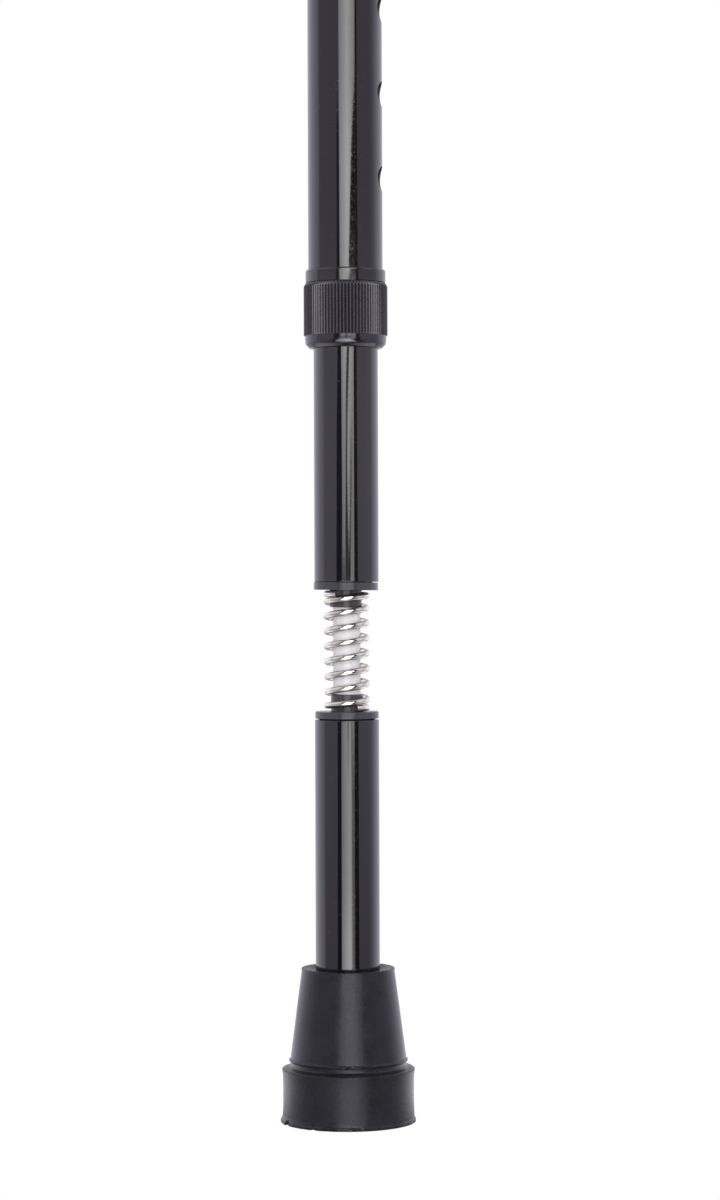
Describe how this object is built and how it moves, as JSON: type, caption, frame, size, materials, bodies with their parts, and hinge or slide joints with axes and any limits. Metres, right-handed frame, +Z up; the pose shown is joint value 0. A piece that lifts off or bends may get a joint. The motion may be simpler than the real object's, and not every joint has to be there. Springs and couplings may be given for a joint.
{
  "type": "adjustable walking stick",
  "caption": "Adjustable walking stick: hooked grip, telescoping tubes with a snap button and a ribbed locking nut, a coil-spring shock absorber round a guide rod, and a rubber foot.",
  "frame": {"origin": "centre of the rubber foot's underside, where the stick's axis meets the ground", "axes": "+Z up along the stick; +X is the side of the adjustment holes and the snap button, which are turned 4.5 degrees towards -Y; the grip's long hooked end points to -X"},
  "size_m": [0.1351, 0.0396, 0.8211],
  "materials": {
    "black_tube": "gloss black coating",
    "black_plastic": "satin moulded black",
    "cap_plastic": "dull grey-black",
    "rubber": "matt black rubber",
    "white_nylon": "smooth white",
    "bright_steel": "bright plated wire",
    "zinc_steel": "zinc plated"
  },
  "bodies": {
    "upper_shaft": {"outer_tube": "black_tube", "stop_ring": "black_plastic", "handle_grip": "black_plastic", "handle_collar": "black_plastic", "handle_pin": "zinc_steel"},
    "inner_shaft": {"inner_tube": "black_tube", "inner_tube_glide": "black_plastic", "upper_spring_cap": "cap_plastic", "rebound_bumper": "rubber", "coil_spring": "bright_steel", "button_spring": "zinc_steel"},
    "button": {"snap_button": "zinc_steel", "button_rivet": "zinc_steel"},
    "lower_leg": {"lower_tube": "black_tube", "lower_spring_cap": "cap_plastic", "guide_rod": "white_nylon", "rod_washer": "zinc_steel", "rod_top_screw": "zinc_steel", "rod_foot_screw": "zinc_steel", "ferrule": "rubber", "ferrule_disc": "zinc_steel"},
    "clamp": {"clamp_ring": "white_nylon"},
    "nut": {"lock_nut": "black_plastic"}
  },
  "joints": [
    {"name": "height_slide", "type": "slide", "parent": "upper_shaft", "child": "inner_shaft", "axis": [0, 0, -1], "range_m": [-0.05, 0.1]},
    {"name": "button_press", "type": "slide", "parent": "inner_shaft", "child": "button", "axis": [-0.9969, 0.0785, 0], "range_m": [0, 0.004], "stiffness_N_per_m": 2500, "springref_m": -0.0015, "deforming": ["button_spring"]},
    {"name": "shock_slide", "type": "slide", "parent": "inner_shaft", "child": "lower_leg", "axis": [0, 0, 1], "range_m": [0, 0.015], "stiffness_N_per_m": 14000, "springref_m": -0.0015, "deforming": ["coil_spring"]},
    {"name": "clamp_slide", "type": "slide", "parent": "upper_shaft", "child": "clamp", "axis": [0, 0, -1], "range_m": [0, 0.00152]},
    {"name": "nut_turn", "type": "hinge", "parent": "clamp", "child": "nut", "pos_m": [0, 0, 0.2377], "axis": [0, 0, -1], "range_deg": [0, 270]}
  ],
  "couplings": [
    {"joint": "clamp_slide", "follows": "nut_turn", "m_per_rad": 0.00031831}
  ]
}
